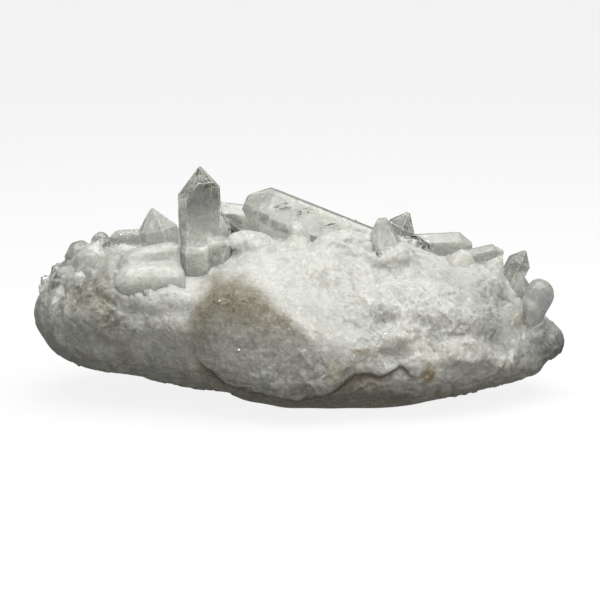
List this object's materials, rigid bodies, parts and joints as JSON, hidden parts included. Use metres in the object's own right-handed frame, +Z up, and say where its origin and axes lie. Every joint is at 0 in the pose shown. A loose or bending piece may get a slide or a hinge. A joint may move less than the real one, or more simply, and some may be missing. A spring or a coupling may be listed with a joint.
{
  "type": "quartz crystal cluster on milky vein quartz",
  "caption": "Hand-sized cluster of rock crystal: clear and cloudy six-sided points and a long lying prism on a rough lens of milky quartz, resting on a small flat spot.",
  "frame": {"origin": "on the small flat spot that the specimen rests on, under the middle of its length", "axes": "+Z up; +X along the specimen towards its narrow end, away from the tall point; -Y towards its front, the side with the broken boulder"},
  "size_m": [0.119, 0.0598, 0.0521],
  "materials": {
    "milky_quartz": "rough broken milky quartz, sugary to waxy",
    "clear_quartz": "bright natural crystal faces, clear with fine veils",
    "cloudy_quartz": "bright natural crystal faces, cloudy inside"
  },
  "bodies": {
    "root": {"matrix": "milky_quartz", "tall_point": "clear_quartz", "reclining_prism": "clear_quartz", "left_point": "cloudy_quartz", "lap_crystals": "cloudy_quartz", "left_bead": "clear_quartz", "left_slab": "clear_quartz", "left_edge_points": "cloudy_quartz", "gap_point_rear": "cloudy_quartz", "gap_point_front": "clear_quartz", "saddle_front_point": "cloudy_quartz", "saddle_rear_point": "clear_quartz", "ridge_prism": "cloudy_quartz", "cream_prism": "cloudy_quartz", "notch_prism": "clear_quartz", "east_point": "clear_quartz", "east_wedge": "cloudy_quartz", "end_knob": "cloudy_quartz", "back_left_points": "cloudy_quartz", "back_middle_points": "clear_quartz", "back_standing_points": "clear_quartz", "back_right_points": "cloudy_quartz", "back_end_points": "cloudy_quartz"}
  },
  "joints": []
}
